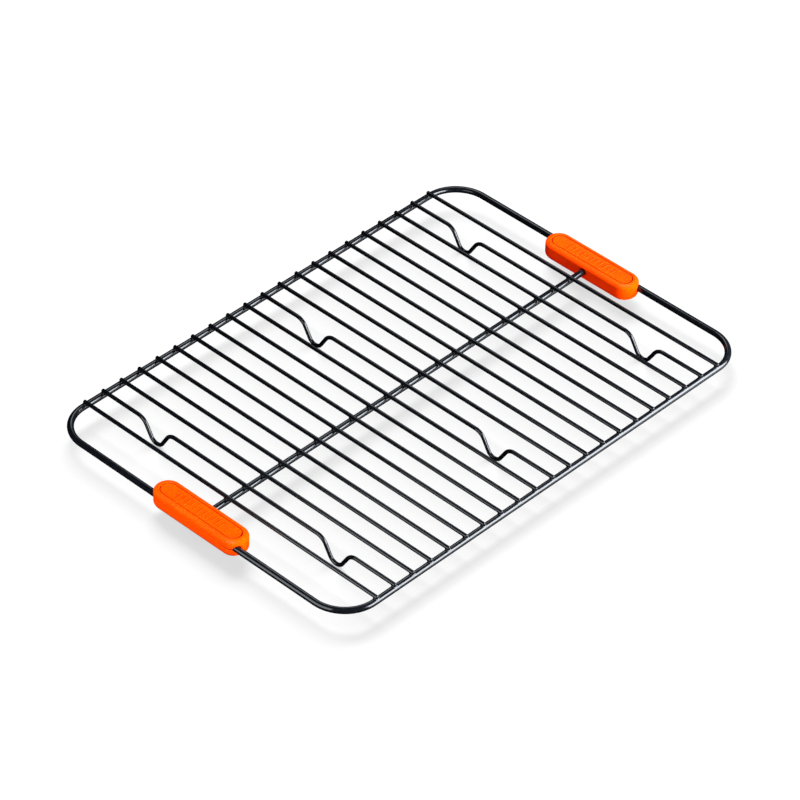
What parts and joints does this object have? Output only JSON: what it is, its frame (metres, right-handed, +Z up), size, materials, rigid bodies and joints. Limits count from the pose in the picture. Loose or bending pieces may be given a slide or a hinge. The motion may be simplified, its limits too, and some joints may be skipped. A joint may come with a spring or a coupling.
{
  "type": "wire cooling rack",
  "caption": "Rectangular wire cooling rack for baking: black coated rod frame, cross wires bent into V feet, a lengthwise centre rod and a silicone grip on each end rail.",
  "frame": {"origin": "on the table, under the middle of the rack", "axes": "+X along the rack from the left grip to the right grip, +Y across it from the front side rail to the back one, +Z up"},
  "size_m": [0.4204, 0.2894, 0.0206],
  "materials": {
    "coated_wire": "satin-gloss black non-stick coating over steel wire",
    "silicone": "matte orange silicone"
  },
  "bodies": {
    "root": {"frame_wire": "coated_wire", "centre_rod": "coated_wire", "cross_wire_01": "coated_wire", "foot_wire_02": "coated_wire", "cross_wire_03": "coated_wire", "cross_wire_04": "coated_wire", "cross_wire_05": "coated_wire", "cross_wire_06": "coated_wire", "cross_wire_07": "coated_wire", "cross_wire_08": "coated_wire", "cross_wire_09": "coated_wire", "cross_wire_10": "coated_wire", "foot_wire_11": "coated_wire", "cross_wire_12": "coated_wire", "cross_wire_13": "coated_wire", "cross_wire_14": "coated_wire", "cross_wire_15": "coated_wire", "cross_wire_16": "coated_wire", "cross_wire_17": "coated_wire", "cross_wire_18": "coated_wire", "cross_wire_19": "coated_wire", "foot_wire_20": "coated_wire", "cross_wire_21": "coated_wire", "left_grip": "silicone", "right_grip": "silicone"}
  },
  "joints": []
}
